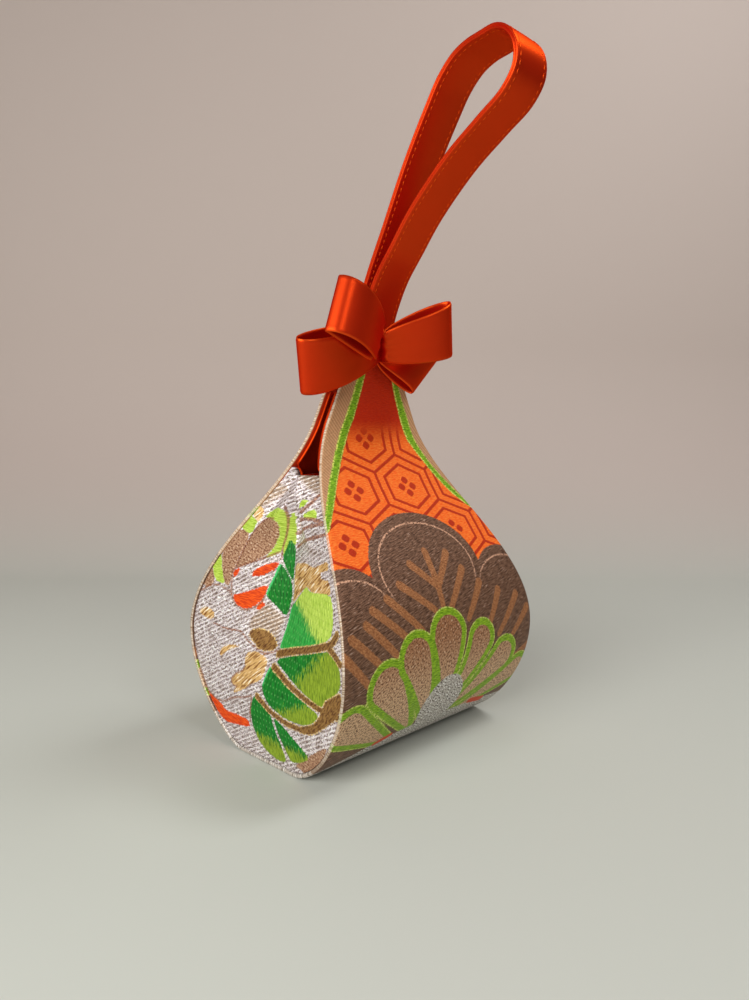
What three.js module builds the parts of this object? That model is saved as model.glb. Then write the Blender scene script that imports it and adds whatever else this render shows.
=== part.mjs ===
import * as THREE from 'three';

// Teardrop clutch. A stiff brocade wrap runs down the front, under the base and up the back.
// A pleated gusset closes each side, a satin lining backs the cloth inside, a magnetic snap
// holds the neck shut, and a satin wrist strap with a folded ribbon bow is sewn to the neck.
// Millimetres, +Z up, the front panel faces -Y, the origin lies under the middle of the base.

// Wrap, seen from the side
const bagHeight = 192;
const bellyDepth = 115;
const bellyHeight = 55;
const baseDepth = 38;
const neckDepth = 12;
const neckFoot = 160;

// Wrap, seen from the front
const baseWidth = 130;
const bellyWidth = 138;
const neckWidth = 34;

// Cloth thicknesses and the play left at a seam
const wrapThickness = 2;
const liningThickness = 0.7;
const gussetThickness = 1.4;
const seamGap = 0.25;

// Gussets
const gussetTop = 136;
const gussetInset = 1.2;
const pleatFoot = 28;
const pleatCrest = 74;
const pleatDepth = 16;
const pleatTopDepth = 8;
const sideFoldFoot = 96;
const frontFoldOut = 6;
const backLobeOut = 2;
const backCreaseIn = 4;
const backNotchIn = 3;
const backNotchDrop = 14;
const gussetBackRise = 2.7;
const gussetTopDip = 4.5;

// Lining of the wrap
const liningTopGap = 1;
const liningFrontInset = 0.3;
const liningBackInset = 1.8;
const liningBodyInset = 6.6;
const liningShoulder = 3;

// Snap
const snapDiameter = 14;
const snapDrop = 4;
const snapPlay = 0.3;
const studDiameter = 6;
const studRise = 1.1;

// Wrist strap
const strapWidth = 22;
const strapThickness = 2.4;
const strapTail = 16;
const strapTailGap = 0.6;
const strapRise = 129;
const strapReach = 94;
const strapLean = 2.1;
const strapLeanRise = 6;

// Bow ribbon
const ribbonWidth = 27;
const ribbonThickness = 0.9;
const ribbonPinch = 2.4;

// Heights that follow from the above
const liningTop = bagHeight - strapTail - liningTopGap;
const snapHeight = liningTop - snapDrop - snapDiameter / 2;

const curveSteps = 14;
const neckSteps = 3;

function mix(a, b, f) {
  return a + (b - a) * f;
}

function ease(v, from, to) {
  const f = Math.min(1, Math.max(0, (v - from) / (to - from)));
  return f * f * (3 - 2 * f);
}

function bezier(points, steps) {
  const [a, b, c, d] = points.map((p) => new THREE.Vector2(p[0], p[1]));
  return new THREE.CubicBezierCurve(a, b, c, d).getPoints(steps);
}

// Value of one list at a place in another, rising, list
function lookUp(at, keys, values) {
  let i = 1;
  while (i < keys.length - 1 && keys[i] < at) {
    i += 1;
  }
  const f = (at - keys[i - 1]) / (keys[i] - keys[i - 1]);
  return mix(values[i - 1], values[i], Math.min(1, Math.max(0, f)));
}

// Half of the wrap's outer profile, from the edge of the flat base to the top of the neck
function halfProfile() {
  const belly = bellyDepth / 2;
  const base = baseDepth / 2;
  const neck = neckDepth / 2;
  const rise = neckFoot - bellyHeight;
  const lower = bezier([
    [base, 0],
    [mix(base, belly, 0.4), 0],
    [belly, bellyHeight * 0.49],
    [belly, bellyHeight],
  ], curveSteps);
  const upper = bezier([
    [belly, bellyHeight],
    [belly, bellyHeight + rise * 0.4],
    [neck + rise * 0.02, neckFoot - rise / 3],
    [neck, neckFoot],
  ], curveSteps + 4);
  const points = lower.concat(upper.slice(1));
  for (let i = 1; i <= neckSteps; i += 1) {
    points.push(new THREE.Vector2(neck, mix(neckFoot, bagHeight, i / neckSteps)));
  }
  return points;
}

// Unit vectors that point into the bag at each place of the half profile
function inward(points) {
  return points.map((p, i) => {
    const before = points[Math.max(0, i - 1)];
    const after = points[Math.min(points.length - 1, i + 1)];
    const along = after.clone().sub(before);
    if (i === 0) {
      along.set(1, 0);
    }
    if (i === points.length - 1) {
      along.set(0, 1);
    }
    return new THREE.Vector2(-along.y, along.x).normalize();
  });
}

const profile = halfProfile();
const profileInward = inward(profile);

// Half width of the wrap at a height
const widthCurve = bezier([
  [baseWidth / 2, 0],
  [mix(baseWidth, bellyWidth, 0.25) / 2, bellyHeight * 0.27],
  [bellyWidth / 2, bellyHeight * 0.64],
  [bellyWidth / 2, bellyHeight],
], curveSteps).concat(bezier([
  [bellyWidth / 2, bellyHeight],
  [bellyWidth / 2, mix(bellyHeight, bagHeight, 0.315)],
  [mix(neckWidth, bellyWidth, 0.4) / 2, mix(bellyHeight, bagHeight, 0.62)],
  [neckWidth / 2, bagHeight],
], curveSteps + 6).slice(1));

function halfWidth(z) {
  return lookUp(z, widthCurve.map((p) => p.y), widthCurve.map((p) => p.x));
}

// Closed body from rings of points, with a flat cap at both ends
function loft(rings) {
  const n = rings[0].length;
  const index = [];
  for (let i = 0; i + 1 < rings.length; i += 1) {
    for (let j = 0; j < n; j += 1) {
      const a = i * n + j;
      const b = i * n + (j + 1) % n;
      index.push(a, b, b + n, a, b + n, a + n);
    }
  }
  const last = (rings.length - 1) * n;
  for (let j = 1; j + 1 < n; j += 1) {
    index.push(0, j + 1, j);
    index.push(last, last + j, last + j + 1);
  }
  return closed(rings.flat(), index);
}

// Closed body between two grids of points with the same rows and columns
function sheet(outer, inner) {
  const rows = outer.length;
  const cols = outer[0].length;
  const back = rows * cols;
  const at = (i, j) => i * cols + j;
  const index = [];
  for (let i = 0; i + 1 < rows; i += 1) {
    for (let j = 0; j + 1 < cols; j += 1) {
      const a = at(i, j);
      const b = at(i, j + 1);
      const c = at(i + 1, j + 1);
      const d = at(i + 1, j);
      index.push(a, b, c, a, c, d);
      index.push(back + a, back + c, back + b, back + a, back + d, back + c);
    }
  }
  const rim = [];
  for (let j = 0; j < cols; j += 1) {
    rim.push(at(0, j));
  }
  for (let i = 1; i < rows; i += 1) {
    rim.push(at(i, cols - 1));
  }
  for (let j = cols - 2; j >= 0; j -= 1) {
    rim.push(at(rows - 1, j));
  }
  for (let i = rows - 2; i > 0; i -= 1) {
    rim.push(at(i, 0));
  }
  rim.forEach((a, k) => {
    const b = rim[(k + 1) % rim.length];
    index.push(a, back + b, b, a, back + a, back + b);
  });
  return closed(outer.flat().concat(inner.flat()), index);
}

// Geometry whose faces all look outwards
function closed(points, index) {
  let volume = 0;
  for (let i = 0; i < index.length; i += 3) {
    const [a, b, c] = [points[index[i]], points[index[i + 1]], points[index[i + 2]]];
    volume += a.dot(b.clone().cross(c));
  }
  if (volume < 0) {
    for (let i = 0; i < index.length; i += 3) {
      [index[i + 1], index[i + 2]] = [index[i + 2], index[i + 1]];
    }
  }
  const geometry = new THREE.BufferGeometry().setFromPoints(points);
  geometry.setIndex(index);
  geometry.computeVertexNormals();
  return geometry;
}

// Section of a band: flat faces with rounded edges, in across and depth
function bandSection(half, thickness, edgeSteps) {
  const r = thickness / 2;
  const points = [];
  for (const side of [1, -1]) {
    for (let k = 0; k <= edgeSteps; k += 1) {
      const angle = Math.PI * (k / edgeSteps - 0.5);
      points.push([side * (half - r + r * Math.cos(angle)), r + side * r * Math.sin(angle)]);
    }
  }
  return points;
}

// Band of cloth along the wrap's profile, lying a given depth under its outer face
function profileBand(depth, thickness, top, half, edgeSteps) {
  const side = [];
  profile.forEach((p, i) => {
    if (p.y < top - 1) {
      side.push([p, profileInward[i]]);
    }
  });
  const zs = profile.map((p) => p.y);
  const end = new THREE.Vector2(lookUp(top, zs, profile.map((p) => p.x)), top);
  const endInward = new THREE.Vector2(
    lookUp(top, zs, profileInward.map((p) => p.x)),
    lookUp(top, zs, profileInward.map((p) => p.y)),
  ).normalize();
  side.push([end, endInward]);
  const whole = side.map(([p, n]) => [p.x, p.y, n.x, n.y]);
  const front = side.map(([p, n]) => [-p.x, p.y, -n.x, n.y]).reverse();
  return loft(front.concat(whole).map(([y, z, ny, nz]) => (
    bandSection(half(z, y), thickness, edgeSteps).map(([across, d]) => (
      new THREE.Vector3(across, y + ny * (depth + d), z + nz * (depth + d))
    ))
  )));
}

// Outward or inward set of a gusset across its depth at a height: front seam, front fold,
// pleat bottom, back lobe, back crease and back seam, as share of the half depth and set
function gussetFolds(z) {
  const rise = ease(z, pleatFoot, pleatCrest);
  const fall = Math.max(0, (z - pleatCrest) / (gussetTop - pleatCrest));
  const deep = mix(pleatDepth, pleatTopDepth, fall) * rise;
  const fold = ease(z, sideFoldFoot, gussetTop);
  const lobe = backLobeOut * 4 * fold * (1 - fold);
  const notch = backNotchIn * ease(z, gussetTop - backNotchDrop, gussetTop);
  return [
    [-1, 0],
    [mix(-0.5, -0.24, fold), mix(0.42 * deep, -frontFoldOut, fold)],
    [0, deep],
    [mix(0.36, 0.3, fold), mix(0.55 * deep, 0, fold) - lobe + notch],
    [mix(0.7, 0.66, fold), mix(0.24 * deep, backCreaseIn, fold)],
    [1, 0],
  ];
}

const foldSteps = [3, 3, 3, 2, 2];

// Points across a gusset at a height, with the creases rounded over
function gussetRow(z) {
  const folds = gussetFolds(z);
  const row = [folds[0]];
  foldSteps.forEach((steps, k) => {
    for (let i = 1; i <= steps; i += 1) {
      const f = i / steps;
      row.push([mix(folds[k][0], folds[k + 1][0], f), mix(folds[k][1], folds[k + 1][1], f)]);
    }
  });
  return row.map(([share, set], i) => {
    if (i === 0 || i === row.length - 1) {
      return [share, set];
    }
    return [share, (row[i - 1][1] + 2 * set + row[i + 1][1]) / 4];
  });
}

// Heights and half depths just inside the wrap, where the gussets end
const gussetSeam = profile.map((p, i) => (
  p.clone().addScaledVector(profileInward[i], wrapThickness + seamGap)
));

function seamDepth(z) {
  return lookUp(z, gussetSeam.map((p) => p.y), gussetSeam.map((p) => p.x));
}

// Grid of points on a gusset, a given cloth depth behind its outer face. Its top edge dips
// in the back lobe and climbs to the back seam, where it is caught higher than in front.
function gussetGrid(side, depth) {
  const levels = gussetSeam.map((p) => p.y).filter((z) => z < gussetTop - 2).concat([gussetTop]);
  return levels.map((level) => {
    const row = gussetRow(level);
    return row.map(([share, set], i) => {
      const before = row[Math.max(0, i - 1)];
      const after = row[Math.min(row.length - 1, i + 1)];
      const slope = (after[1] - before[1]) / ((after[0] - before[0]) * seamDepth(level));
      const lean = Math.min(1.8, Math.hypot(1, slope));
      const reach = ease(level, sideFoldFoot, gussetTop);
      const climb = reach * ease(share, 0.35, 1);
      const dip = reach * ease(share, 0, 0.35) - climb;
      const z = level + gussetBackRise * climb - gussetTopDip * dip;
      const x = halfWidth(z) - gussetInset - set - depth * lean;
      return new THREE.Vector3(side * x, share * (seamDepth(z) - seamGap * climb), z);
    });
  });
}

function gusset(side, depth, thickness) {
  return sheet(gussetGrid(side, depth), gussetGrid(side, depth + thickness));
}

// Half width of the wrap's lining: narrow between the gussets, wider in the neck
function liningHalf(z, y) {
  const back = y > 0;
  const foot = gussetTop + (back ? gussetBackRise : 0);
  const neckInset = back ? liningBackInset : liningFrontInset;
  return halfWidth(z) - mix(liningBodyInset, neckInset, ease(z, foot, foot + liningShoulder));
}

// Half of the snap, turned about the axis across the neck; the stud enters the socket
function snapHalf(side, center) {
  const narrow = lookUp(snapHeight + snapDiameter / 2, profile.map((p) => p.y), profile.map((p) => p.x));
  const room = 2 * (narrow - wrapThickness - liningThickness - seamGap);
  const thickness = (room - 2 * seamGap - snapPlay) / 2;
  const radius = snapDiameter / 2;
  const bevel = thickness * 0.15;
  const stud = studDiameter / 2 + (center < 0 ? snapPlay : 0);
  const step = center < 0 ? -studRise - snapPlay : studRise;
  const outline = [
    [0, 0],
    [radius - bevel, 0],
    [radius, bevel],
    [radius, thickness - bevel],
    [radius - bevel, thickness],
    [stud, thickness],
    [stud, thickness + step],
    [0, thickness + step],
  ].map(([r, h]) => new THREE.Vector2(r, h));
  const geometry = new THREE.LatheGeometry(outline, 28);
  if (side > 0) {
    geometry.rotateX(Math.PI);
  }
  geometry.translate(0, side * (room / 2 - seamGap), snapHeight);
  return geometry;
}

// Centre line of the strap in Y and Z: up from the front neck, round the loop, down to the back
function strapPath() {
  const seat = neckDepth / 2 - wrapThickness - seamGap - strapThickness / 2;
  const foot = bagHeight - strapTail;
  const place = ([reach, rise]) => [-strapReach * reach, bagHeight + strapRise * rise];
  const front = [
    [0.171, 0.29], [0.281, 0.387], [0.401, 0.505], [0.615, 0.644], [0.799, 0.731],
    [0.924, 0.8], [0.983, 0.866], [0.979, 0.93], [0.938, 0.976],
  ].map(place);
  const back = [
    [0.875, 0.999], [0.79, 0.991], [0.651, 0.957], [0.513, 0.84],
    [0.372, 0.672], [0.235, 0.47], [0.105, 0.275],
  ].map(place);
  const points = [
    [-seat, foot],
    [-seat, bagHeight - strapTail / 2],
    [-seat, bagHeight + strapTailGap],
    [-seat - strapLean, bagHeight + strapLeanRise],
    ...front,
    ...back,
    [seat - strapLean, bagHeight + strapLeanRise],
    [seat, bagHeight + strapTailGap],
    [seat, bagHeight - strapTail / 2],
    [seat, foot],
  ];
  const path = points.map(([y, z]) => new THREE.Vector3(0, y, z));
  return new THREE.CatmullRomCurve3(path, false, 'centripetal');
}

function strap() {
  const path = strapPath();
  const steps = 64;
  const rings = [];
  for (let i = 0; i <= steps; i += 1) {
    const p = path.getPointAt(i / steps);
    const along = path.getTangentAt(i / steps);
    const normal = new THREE.Vector3(0, -along.z, along.y);
    rings.push(bandSection(strapWidth / 2, strapThickness, 4).map(([across, d]) => (
      p.clone().addScaledVector(normal, d - strapThickness / 2).setX(across)
    )));
  }
  return loft(rings);
}

// Loops of the bow: where each starts, measured sideways, forward of the neck's face and up from
// its top edge, which way it runs, which way its width lies, its length, how far the front and
// the back sheet bulge, and its half width at the start
const bowLoops = {
  mainLeft: {
    start: [-7, -8.1, 7.1], run: [-0.96, -0.01, -0.28], width: [-0.367, -0.315, 0.875],
    length: 51, front: 7.9, back: 6.2, middle: 10,
  },
  mainRight: {
    start: [-3.5, -11.1, 5.1], run: [0.884, -0.365, 0.292], width: [-0.286, -0.18, 0.941],
    length: 36.6, front: 8.2, back: 4.8, middle: 7.5,
  },
  upper: {
    start: [-15.6, -17.45, 6.7], run: [-0.92, -0.112, 0.374], width: [0.363, 0.059, 0.93],
    length: 36, front: 10.3, back: -1, middle: 9.8,
  },
  lower: {
    start: [4, -2.2, 2.7], run: [0.9, -0.22, -0.375], width: [0.729, -0.009, 0.685],
    length: 27.4, front: 4.6, back: 2.2, middle: 5.5,
  },
};

// Stations along one folded loop, from the middle out along the front sheet and back behind
function loopStations(loop, steps) {
  const run = new THREE.Vector3(...loop.run).normalize();
  const width = new THREE.Vector3(...loop.width).normalize();
  const face = run.clone().cross(width).normalize();
  if (face.y > 0) {
    face.negate();
  }
  const start = new THREE.Vector3(0, -neckDepth / 2, bagHeight).add(new THREE.Vector3(...loop.start));
  const stations = [];
  for (let i = 0; i <= steps; i += 1) {
    const t = i / steps;
    const swell = Math.sin(Math.PI * t);
    const bulge = t < 0.5 ? loop.front : loop.back;
    const out = loop.length * (1 - Math.cos(2 * Math.PI * t)) / 2;
    const rise = bulge * Math.sin(2 * Math.PI * t) * swell + ribbonPinch / 2 * Math.cos(Math.PI * t);
    const at = start.clone().addScaledVector(run, out).addScaledVector(face, rise);
    const half = mix(loop.middle, ribbonWidth / 2, Math.pow(swell, 1.2));
    stations.push({ at, width, half });
  }
  return stations;
}

// Ribbon along stations, as a thin strip of even thickness
function ribbon(stations) {
  const rings = stations.map((s, i) => {
    const before = stations[Math.max(0, i - 1)].at;
    const after = stations[Math.min(stations.length - 1, i + 1)].at;
    const normal = after.clone().sub(before).cross(s.width).normalize();
    const corner = (w, n) => (
      s.at.clone().addScaledVector(s.width, w * s.half).addScaledVector(normal, n * ribbonThickness / 2)
    );
    return [corner(-1, -1), corner(1, -1), corner(1, 1), corner(-1, 1)];
  });
  return loft(rings);
}

function mainRibbon() {
  const left = loopStations(bowLoops.mainLeft, 28).reverse();
  const right = loopStations(bowLoops.mainRight, 28);
  return ribbon(left.concat(right));
}

const brocade = new THREE.MeshStandardMaterial({ name: 'brocade_front', color: 0x9c6244, roughness: 0.6 });
const sideBrocade = new THREE.MeshStandardMaterial({ name: 'brocade_side', color: 0xb4a68c, roughness: 0.55 });
const lining = new THREE.MeshStandardMaterial({ name: 'lining_satin', color: 0xc23c16, roughness: 0.5 });
const satin = new THREE.MeshStandardMaterial({ name: 'ribbon_satin', color: 0xd0400f, roughness: 0.45 });
const metal = new THREE.MeshStandardMaterial({ name: 'snap_metal', color: 0xc9c4b6, metalness: 1, roughness: 0.35 });

const clutch = new THREE.Group();
clutch.name = 'teardrop_clutch';

function add(name, geometry, material) {
  const mesh = new THREE.Mesh(geometry, material);
  mesh.name = name;
  clutch.add(mesh);
}

const liningDepth = wrapThickness + seamGap;
const gussetLiningDepth = gussetThickness + seamGap;

add('outer_wrap', profileBand(0, wrapThickness, bagHeight, halfWidth, 4), brocade);
add('wrap_lining', profileBand(liningDepth, liningThickness, liningTop, liningHalf, 2), lining);
add('gusset_left', gusset(-1, 0, gussetThickness), sideBrocade);
add('gusset_right', gusset(1, 0, gussetThickness), sideBrocade);
add('gusset_lining_left', gusset(-1, gussetLiningDepth, liningThickness), lining);
add('gusset_lining_right', gusset(1, gussetLiningDepth, liningThickness), lining);
add('wrist_strap', strap(), satin);
add('bow_main_ribbon', mainRibbon(), satin);
add('bow_upper_loop', ribbon(loopStations(bowLoops.upper, 30)), satin);
add('bow_lower_loop', ribbon(loopStations(bowLoops.lower, 24)), satin);
add('snap_socket', snapHalf(-1, -1), metal);
add('snap_stud', snapHalf(1, 1), metal);

export default clutch;
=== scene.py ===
import math
from functools import partialmethod, reduce

import bpy
import numpy as np
from mathutils import Matrix, Vector


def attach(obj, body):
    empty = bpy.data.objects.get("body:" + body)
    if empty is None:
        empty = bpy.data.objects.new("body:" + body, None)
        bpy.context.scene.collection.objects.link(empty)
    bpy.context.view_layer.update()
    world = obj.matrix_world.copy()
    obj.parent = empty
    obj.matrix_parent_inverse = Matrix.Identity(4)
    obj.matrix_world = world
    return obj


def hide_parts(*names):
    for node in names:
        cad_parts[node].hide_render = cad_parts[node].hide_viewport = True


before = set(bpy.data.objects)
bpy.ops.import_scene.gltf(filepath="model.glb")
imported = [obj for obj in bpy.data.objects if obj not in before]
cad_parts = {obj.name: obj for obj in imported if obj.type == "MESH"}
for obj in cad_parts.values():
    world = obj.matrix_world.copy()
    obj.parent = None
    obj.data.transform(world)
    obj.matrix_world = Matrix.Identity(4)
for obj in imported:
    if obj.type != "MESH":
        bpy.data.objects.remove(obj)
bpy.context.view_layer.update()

MM = 0.001
ALONG_X, ALONG_Y = (1.0, 0.0, 0.0), (0.0, 1.0, 0.0)

# Sizes in millimetres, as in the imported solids
BAG_HEIGHT = 192.0
BELLY_DEPTH, BELLY_HEIGHT = 115.0, 55.0
BASE_DEPTH, NECK_DEPTH, NECK_FOOT = 38.0, 12.0, 160.0
BASE_WIDTH, BELLY_WIDTH, NECK_WIDTH = 130.0, 138.0, 34.0
WRAP, LINING, GUSSET, GAP = 2.0, 0.7, 1.4, 0.25
GUSSET_TOP, GUSSET_INSET, SIDE_FOOT, BACK_RISE, TOP_DIP = 136.0, 1.2, 96.0, 2.7, 4.5
LINING_TOP = 175.0


def mix(a, b, f):
    return a + (b - a) * f


def ease(v, a, b):
    f = np.clip((np.asarray(v, float) - a) / (b - a), 0.0, 1.0)
    return f * f * (3 - 2 * f)


def bezier(p, steps):
    t = np.linspace(0, 1, steps + 1)[:, None]
    a, b, c, d = (np.array(q, float) for q in p)
    return a * (1 - t) ** 3 + 3 * b * t * (1 - t) ** 2 + 3 * c * t * t * (1 - t) + d * t ** 3


def catmull(points, per):
    """Centripetal curve through points."""
    def between(a, b, ta, tb):
        return ((tb - t) * a + (t - ta) * b) / (tb - ta)

    p = np.array(points, float)
    p = np.vstack([2 * p[0] - p[1], p, 2 * p[-1] - p[-2]])
    knots = np.append(0, np.cumsum(np.linalg.norm(np.diff(p, axis=0), axis=1) ** 0.5))
    out = []
    for i in range(1, len(p) - 2):
        (a, b, c, d), (t0, t1, t2, t3) = p[i - 1:i + 3], knots[i - 1:i + 3]
        t = np.linspace(t1, t2, per, endpoint=False)[:, None]
        first, second, third = between(a, b, t0, t1), between(b, c, t1, t2), between(c, d, t2, t3)
        out.append(between(between(first, second, t0, t2), between(second, third, t1, t3), t1, t2))
    return np.vstack(out + [p[-2:-1]])


def lengths(path):
    """Length along a path up to each of its points."""
    return np.append(0, np.cumsum(np.linalg.norm(np.diff(path, axis=0), axis=1)))


def resample(path, step):
    """A path's points at even steps, and their lengths along it."""
    l = lengths(path)
    q = np.linspace(0, l[-1], int(l[-1] / step) + 1)
    return np.stack([np.interp(q, l, path[:, k]) for k in range(path.shape[1])], 1), q


def smooth(row, width):
    """A row of values softened over its neighbours."""
    reach = 12
    k = np.exp(-0.5 * (np.arange(-reach, reach + 1) / width) ** 2)
    k /= k.sum()
    return np.convolve(np.pad(row, reach, mode="edge"), k, mode="valid")


def half_turn(r, steps):
    """Points of a rounded edge between two faces: how far each stands out and how deep it lies."""
    return [(r * math.sin(a), r - r * math.cos(a)) for a in math.pi * np.arange(1, steps) / steps]


# Half of the wrap's side profile: half depth and height, from the middle of the base up
def half_profile():
    belly, base, neck = BELLY_DEPTH / 2, BASE_DEPTH / 2, NECK_DEPTH / 2
    rise = NECK_FOOT - BELLY_HEIGHT
    lower = bezier([(base, 0), (mix(base, belly, 0.4), 0),
                    (belly, BELLY_HEIGHT * 0.49), (belly, BELLY_HEIGHT)], 160)
    upper = bezier([(belly, BELLY_HEIGHT), (belly, BELLY_HEIGHT + rise * 0.4),
                    (neck + rise * 0.02, NECK_FOOT - rise / 3), (neck, NECK_FOOT)], 240)
    flat = np.array([(f * base, 0.0) for f in np.linspace(0, 1, 40)])
    top = np.array([(neck, z) for z in np.linspace(NECK_FOOT, BAG_HEIGHT, 60)])
    return np.vstack([flat, lower[1:], upper[1:], top[1:]])


# Half of the wrap's width, with the height that it belongs to
def half_width_curve():
    a = bezier([(BASE_WIDTH / 2, 0), (mix(BASE_WIDTH, BELLY_WIDTH, 0.25) / 2, BELLY_HEIGHT * 0.27),
                (BELLY_WIDTH / 2, BELLY_HEIGHT * 0.64), (BELLY_WIDTH / 2, BELLY_HEIGHT)], 120)
    b = bezier([(BELLY_WIDTH / 2, BELLY_HEIGHT), (BELLY_WIDTH / 2, mix(BELLY_HEIGHT, BAG_HEIGHT, 0.315)),
                (mix(NECK_WIDTH, BELLY_WIDTH, 0.4) / 2, mix(BELLY_HEIGHT, BAG_HEIGHT, 0.62)),
                (NECK_WIDTH / 2, BAG_HEIGHT)], 240)
    return np.vstack([a, b[1:]])


PROFILE = half_profile()
ARC = lengths(PROFILE)
WIDTHS = half_width_curve()
FULL = float(ARC[-1])


def half_width(z):
    return np.interp(z, WIDTHS[:, 1], WIDTHS[:, 0])


def arc_at(z):
    """Arc length from the middle of the base up to a height."""
    return float(np.interp(z, PROFILE[:, 1], ARC))


def on_profile(s):
    """Half depth, height and inward normal (depth, height) at arc lengths s from the middle of the base."""
    depth, height = PROFILE.T
    reach = 0.8
    lo, hi = np.clip(s - reach, 0, FULL), np.clip(s + reach, 0, FULL)
    td = np.interp(hi, ARC, depth) - np.interp(lo, ARC, depth)
    tz = np.interp(hi, ARC, height) - np.interp(lo, ARC, height)
    n = np.hypot(td, tz)
    return np.interp(s, ARC, depth), np.interp(s, ARC, height), -tz / n, td / n


def along_profile(s, x, depth):
    """Points set in by a depth from the wrap's outside, at arc lengths s that are positive in front."""
    d, z, nd, nz = (v[:, None] for v in on_profile(np.abs(s)))
    sign = np.where(s >= 0, -1.0, 1.0)[:, None]
    return np.stack([x, sign * (d + nd * depth), z + nz * depth], -1)


# Meshes

def finish_mesh(name, verts, faces, material, attrs):
    me = bpy.data.meshes.new(name)
    me.from_pydata((np.asarray(verts) * MM).tolist(), [], faces)
    for key, values in attrs.items():
        values = np.asarray(values, np.float32)
        kind = "FLOAT_VECTOR" if values.ndim == 2 else "FLOAT"
        a = me.attributes.new(key, kind, "POINT")
        a.data.foreach_set("vector" if values.ndim == 2 else "value", values.ravel())
    me.materials.append(material)
    me.polygons.foreach_set("use_smooth", [True] * len(me.polygons))
    me.update()
    obj = bpy.data.objects.new(name, me)
    bpy.context.scene.collection.objects.link(obj)
    return obj


def volume_sign(verts, quads):
    a, b, c, d = (verts[quads[:, k]] for k in range(4))
    return np.sum(a * np.cross(b, c)) + np.sum(a * np.cross(c, d))


def loft(rings):
    """Vertices and faces of a closed body through rings of points, shaped (rings, points, 3)."""
    r, n, _ = rings.shape
    i, j = np.meshgrid(np.arange(r - 1), np.arange(n), indexing="ij")
    a = i * n + j
    b = i * n + (j + 1) % n
    quads = np.stack([a, b, b + n, a + n], -1).reshape(-1, 4)
    verts = rings.reshape(-1, 3)
    first, last = list(range(n - 1, -1, -1)), list(range((r - 1) * n, r * n))
    faces = quads.tolist() + [first, last]
    if volume_sign(verts, quads) < 0:
        faces = [f[::-1] for f in faces]
    return verts, faces


def slab(outer, inner):
    """Vertices and faces of a closed sheet between two grids of points, shaped (rows, columns, 3)."""
    r, c, _ = outer.shape
    i, j = np.meshgrid(np.arange(r - 1), np.arange(c - 1), indexing="ij")
    a = (i * c + j).ravel()
    top = np.stack([a, a + 1, a + c + 1, a + c], -1)
    back = r * c
    bottom = top[:, ::-1] + back
    rim = np.concatenate([np.arange(c), np.arange(1, r) * c + c - 1,
                          (r - 1) * c + np.arange(c - 2, -1, -1), np.arange(r - 2, 0, -1) * c])
    nxt = np.roll(rim, -1)
    side = np.stack([rim, rim + back, nxt + back, nxt], -1)
    quads = np.vstack([top, bottom, side])
    verts = np.vstack([outer.reshape(-1, 3), inner.reshape(-1, 3)])
    if volume_sign(verts, quads) < 0:
        quads = quads[:, ::-1]
    return verts, quads.tolist()


def on_cloth(u, v, across=None):
    """Attributes of a cloth's points: their places on it and, for satin, the direction across its threads."""
    attrs = {"cloth": np.stack([u, v, 0 * u], -1).reshape(-1, 3)}
    if across:
        attrs["across"] = np.tile(across, (u.size, 1))
    return attrs


# Signed distances in millimetres, negative inside, for the woven figures
CORNER_CUT, OUTLINE_GROWTH = 0.18, 0.2


def d_ellipse(x, y, cx, cy, a, b):
    u, v = x - cx, y - cy
    k = np.sqrt((u / a) ** 2 + (v / b) ** 2) + 1e-6
    g = np.sqrt((u / a ** 2) ** 2 + (v / b ** 2) ** 2) + 1e-6
    return k * (k - 1) / g


def d_capsule(x, y, p, q, r0, r1=None):
    r1 = r0 if r1 is None else r1
    dx, dy = q[0] - p[0], q[1] - p[1]
    t = np.clip(((x - p[0]) * dx + (y - p[1]) * dy) / (dx * dx + dy * dy), 0, 1)
    return np.hypot(x - p[0] - t * dx, y - p[1] - t * dy) - (r0 + (r1 - r0) * t)


def rounded(points):
    """A polygon with its corners cut, as woven curves."""
    p = np.array(points, float)
    q = np.roll(p, -1, 0)
    return np.stack([mix(p, q, CORNER_CUT), mix(q, p, CORNER_CUT)], 1).reshape(-1, 2)


def d_polygon(x, y, points):
    """Signed distance to a polygon with rounded corners."""
    points = rounded(points)
    sides = list(zip(points, np.roll(points, -1, 0)))
    best = union(*(d_capsule(x, y, a, b, 0.0) for a, b in sides))
    inside = np.zeros(x.shape, bool)
    for (ax, ay), (bx, by) in sides:
        inside ^= ((ay > y) != (by > y)) & (x < (bx - ax) * (y - ay) / ((by - ay) or 1e-9) + ax)
    return np.where(inside, -best, best) - OUTLINE_GROWTH


def d_lines(x, y, lines):
    """Distance to the nearest of some smooth open lines."""
    paths = [catmull(line, 5) for line in lines]
    return union(*(d_capsule(x, y, a, b, 0.0) for path in paths for a, b in zip(path[:-1], path[1:])))


def union(*ds):
    return reduce(np.minimum, ds)


# Node trees

def colour(text):
    rgb = [int(text[k:k + 2], 16) / 255 for k in (1, 3, 5)]
    return (*[c / 12.92 if c <= 0.04045 else ((c + 0.055) / 1.055) ** 2.4 for c in rgb], 1.0)


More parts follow.
